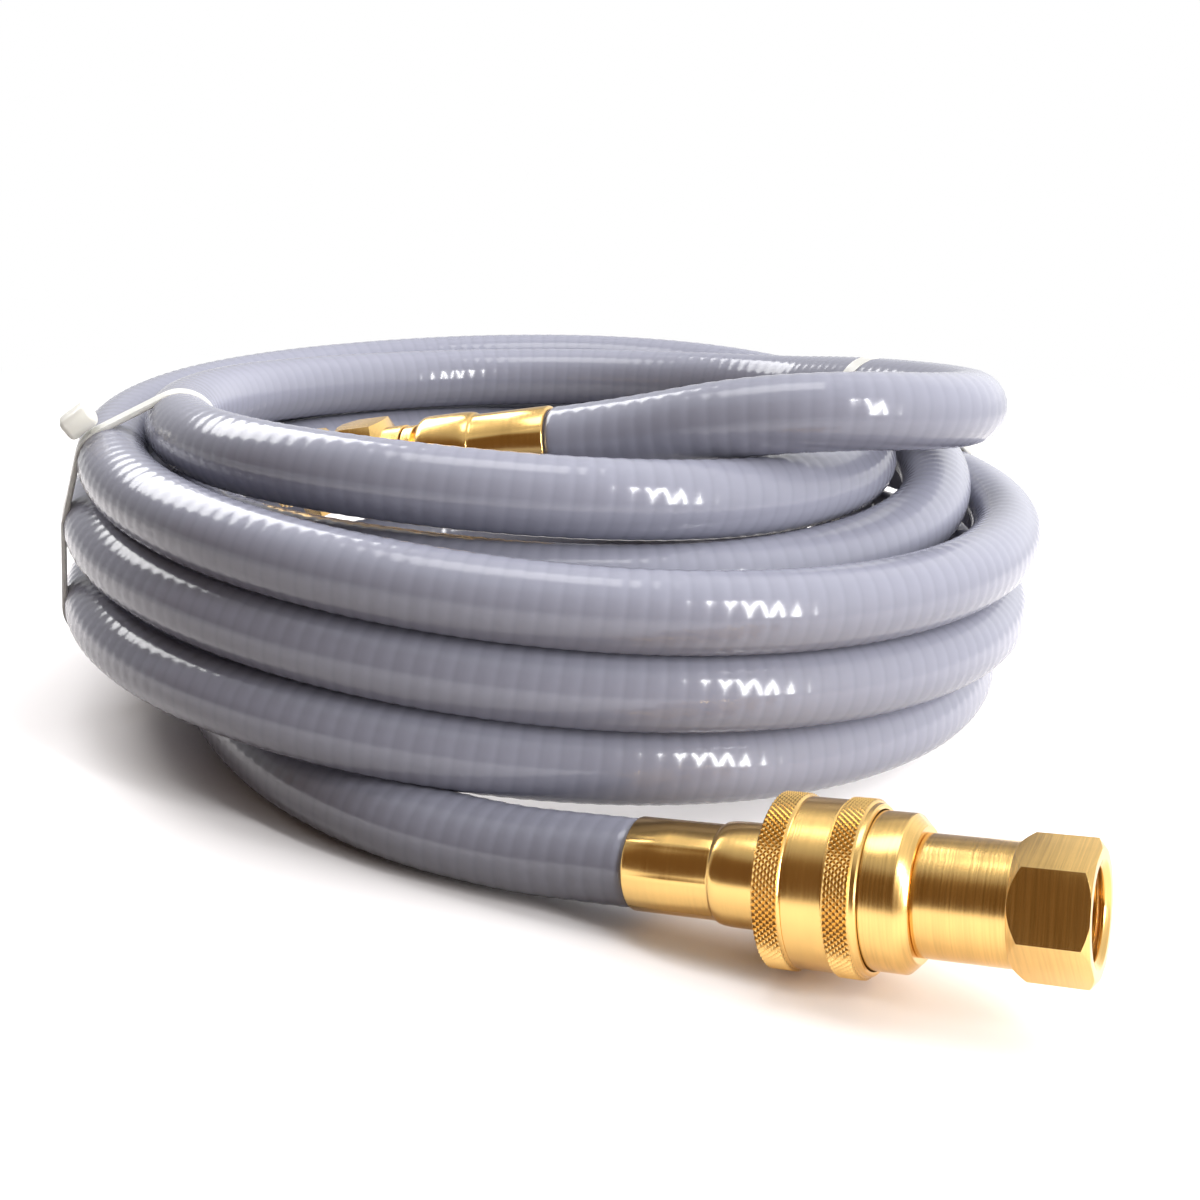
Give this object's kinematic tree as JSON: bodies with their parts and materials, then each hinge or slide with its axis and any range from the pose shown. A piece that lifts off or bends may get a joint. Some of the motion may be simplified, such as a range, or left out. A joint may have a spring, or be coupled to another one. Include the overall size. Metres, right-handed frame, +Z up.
{
  "type": "gas hose with quick coupling",
  "caption": "Coiled ribbed gas hose held by cable ties, with a brass quick coupling and pipe thread at one end and a flare nut with a pipe adapter at the other.",
  "frame": {"origin": "on the surface that the hose lies on, under the middle of the box round the ties and the fittings", "axes": "+Z up from the surface; +X to the viewer's right, with the coupling at the front right; +Y away from the viewer"},
  "size_m": [0.2304, 0.2895, 0.0881],
  "materials": {
    "hose_jacket": "glossy ribbed PVC",
    "hose_liner": "smooth black tube",
    "ferrule_brass": "satin, crimped",
    "turned_brass": "turned, bright",
    "seal_rubber": "matt",
    "spring_steel": "drawn wire and ground balls",
    "tie_nylon": "translucent natural nylon"
  },
  "bodies": {
    "hose": {"hose_coil": "hose_jacket", "hose_tail_inlet": "hose_jacket", "hose_tail_outlet": "hose_jacket", "left_cable_tie": "tie_nylon", "right_cable_tie": "tie_nylon", "inlet_hose_end_jacket": "hose_jacket", "inlet_hose_end_liner": "hose_liner", "inlet_ferrule": "ferrule_brass", "plug_nipple": "turned_brass", "outlet_hose_end_jacket": "hose_jacket", "outlet_hose_end_liner": "hose_liner", "outlet_ferrule": "ferrule_brass", "outlet_stem": "turned_brass"},
    "socket": {"socket_front_body": "turned_brass", "socket_pipe_end": "turned_brass", "body_joint_seal": "seal_rubber", "plug_seal": "seal_rubber", "sleeve_stop_ring": "spring_steel", "locking_balls": "spring_steel", "valve_guide": "turned_brass", "sleeve_spring": "spring_steel", "valve_spring": "spring_steel"},
    "sleeve": {"lock_sleeve": "turned_brass"},
    "poppet": {"valve_poppet": "turned_brass", "valve_poppet_seal": "seal_rubber"},
    "nut": {"flare_nut": "turned_brass"},
    "adapter": {"flare_adapter": "turned_brass"}
  },
  "joints": [
    {"name": "socket_swivel", "type": "hinge", "parent": "hose", "child": "socket", "pos_m": [0.04178, -0.07058, 0.01585], "axis": [0.8705, -0.4746, 0.1305], "continuous": true},
    {"name": "sleeve_slide", "type": "slide", "parent": "socket", "child": "sleeve", "axis": [0.8705, -0.4746, 0.1305], "range_m": [0, 0.0043], "stiffness_N_per_m": 1500, "springref_m": -0.004, "deforming": ["sleeve_spring"]},
    {"name": "poppet_slide", "type": "slide", "parent": "socket", "child": "poppet", "axis": [0.8705, -0.4746, 0.1305], "range_m": [0, 0.0015], "stiffness_N_per_m": 500, "springref_m": -0.004, "deforming": ["valve_spring"]},
    {"name": "flare_nut_turn", "type": "hinge", "parent": "hose", "child": "nut", "pos_m": [-0.03884, 0.03223, 0.06177], "axis": [0.9336, -0.3033, 0.1908], "range_deg": [0, 360]},
    {"name": "adapter_slide", "type": "slide", "parent": "hose", "child": "adapter", "axis": [-0.9336, 0.3033, -0.1908], "range_m": [0, 0.0015]}
  ],
  "couplings": [
    {"joint": "adapter_slide", "follows": "flare_nut_turn", "m_per_rad": 0.00022457}
  ]
}
